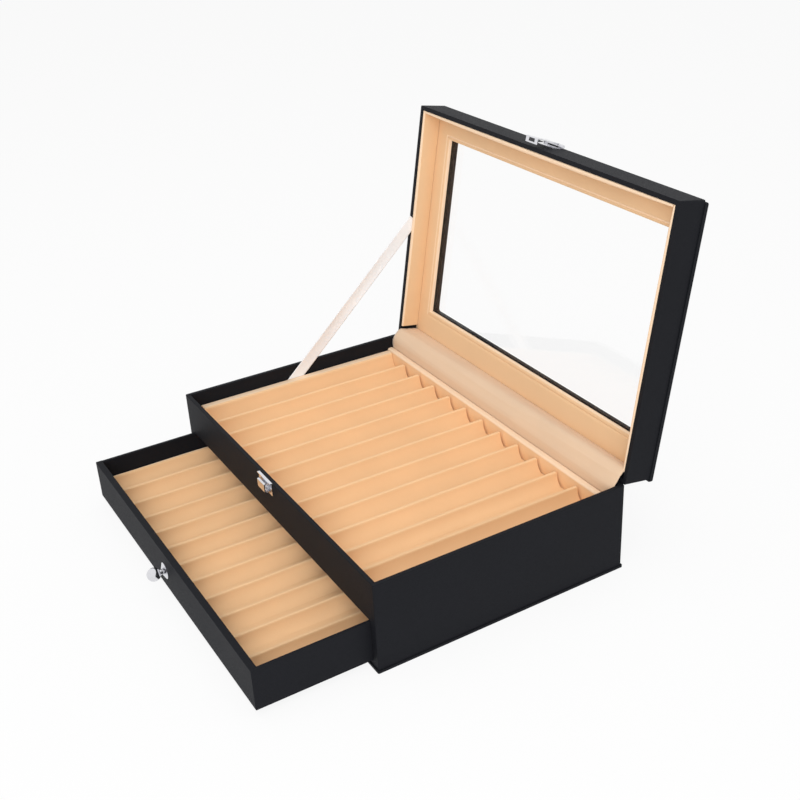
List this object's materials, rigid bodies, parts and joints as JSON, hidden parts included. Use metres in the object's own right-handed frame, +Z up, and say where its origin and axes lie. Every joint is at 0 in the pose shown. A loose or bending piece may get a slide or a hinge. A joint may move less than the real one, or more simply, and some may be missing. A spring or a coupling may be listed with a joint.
{
  "type": "pen display case",
  "caption": "Two-storey leather-covered pen case with a windowed lid held by a ribbon, padded slots in its tray and its drawer, a knob and a front clasp",
  "frame": {"origin": "middle of the case's plan on its underside; the open lid and pulled drawer don't move it", "axes": "+X along the case's length to the right when facing the front, -Y towards the front, +Z up"},
  "size_m": [0.3318, 0.377, 0.2913],
  "materials": {
    "leatherette": "fine-grained matte black leatherette",
    "lining": "soft tan velour over padding",
    "hinge_lining": "pale tan satin-backed velour",
    "ribbon": "white satin ribbon",
    "pane": "clear pane",
    "hardware": "bright nickel plate"
  },
  "bodies": {
    "case": {"base_board": "leatherette", "left_side_panel": "leatherette", "right_side_panel": "leatherette", "back_panel": "leatherette", "front_rail": "leatherette", "left_drawer_guide": "leatherette", "right_drawer_guide": "leatherette", "middle_shelf": "leatherette", "upper_bed": "lining", "upper_end_rest": "lining", "upper_front_rest": "lining", "leather_hinge": "leatherette", "catch_plate": "hardware", "catch_pins": "hardware", "hinge_liner": "hinge_lining", "ribbon_stay": "ribbon", "upper_divider_01": "lining", "upper_divider_02": "lining", "upper_divider_03": "lining", "upper_divider_04": "lining", "upper_divider_05": "lining", "upper_divider_06": "lining", "upper_divider_07": "lining", "upper_divider_08": "lining", "upper_divider_09": "lining", "upper_divider_10": "lining", "upper_divider_11": "lining"},
    "drawer": {"drawer_front": "leatherette", "drawer_left_side": "leatherette", "drawer_right_side": "leatherette", "drawer_back": "leatherette", "drawer_bottom": "leatherette", "drawer_bed": "lining", "knob_rosette": "hardware", "knob": "hardware", "knob_screw": "hardware", "drawer_divider_01": "lining", "drawer_divider_02": "lining", "drawer_divider_03": "lining", "drawer_divider_04": "lining", "drawer_divider_05": "lining", "drawer_divider_06": "lining", "drawer_divider_07": "lining", "drawer_divider_08": "lining", "drawer_divider_09": "lining", "drawer_divider_10": "lining", "drawer_divider_11": "lining"},
    "lid": {"lid_front_rail": "leatherette", "lid_left_rail": "leatherette", "lid_right_rail": "leatherette", "lid_back_rail": "leatherette", "window_board": "leatherette", "window_pane": "pane", "lid_front_liner": "lining", "lid_left_liner": "lining", "lid_right_liner": "lining", "window_liner": "lining", "clasp_plate": "hardware", "clasp_pin": "hardware"},
    "hasp": {"clasp_hasp": "hardware"}
  },
  "joints": [
    {"name": "lid_hinge", "type": "hinge", "parent": "case", "child": "lid", "pos_m": [0, 0.1065, 0.0734], "axis": [1, 0, 0], "range_deg": [0, 99.6], "deforming": ["hinge_liner", "leather_hinge", "ribbon_stay"]},
    {"name": "drawer_slide", "type": "slide", "parent": "case", "child": "drawer", "axis": [0, -1, 0], "range_m": [-0.0872, 0.07]},
    {"name": "hasp_hinge", "type": "hinge", "parent": "lid", "child": "hasp", "pos_m": [0, 0.16304, 0.28179], "axis": [-1, 0, 0], "range_deg": [-4.5, 95]}
  ]
}
